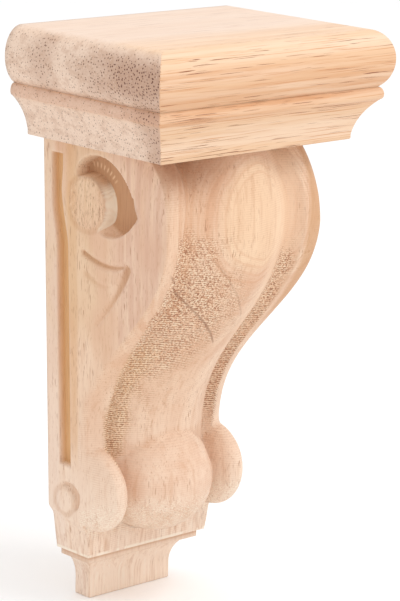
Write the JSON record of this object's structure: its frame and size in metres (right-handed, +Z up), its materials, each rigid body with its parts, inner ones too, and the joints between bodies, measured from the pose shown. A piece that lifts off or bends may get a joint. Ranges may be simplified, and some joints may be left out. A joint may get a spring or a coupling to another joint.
{
  "type": "corbel bracket",
  "caption": "Carved wooden corbel with a moulded cap, an S-shaped front between grooved rims, scrolled sides and a rolled foot.",
  "frame": {"origin": "the point on the flat back face where the bracket is fixed to its wall, midway across it and 101.5 mm above the underside of the foot", "axes": "+Z up, +X across the bracket, +Y into the wall; the carved front faces -Y"},
  "size_m": [0.105, 0.0769, 0.203],
  "materials": {
    "body_wood": "bare carved hardwood, unsanded in its hollows",
    "cap_wood": "bare machined hardwood, lightly sanded"
  },
  "bodies": {
    "root": {"corbel_body": "body_wood", "corbel_cap": "cap_wood"}
  },
  "joints": []
}
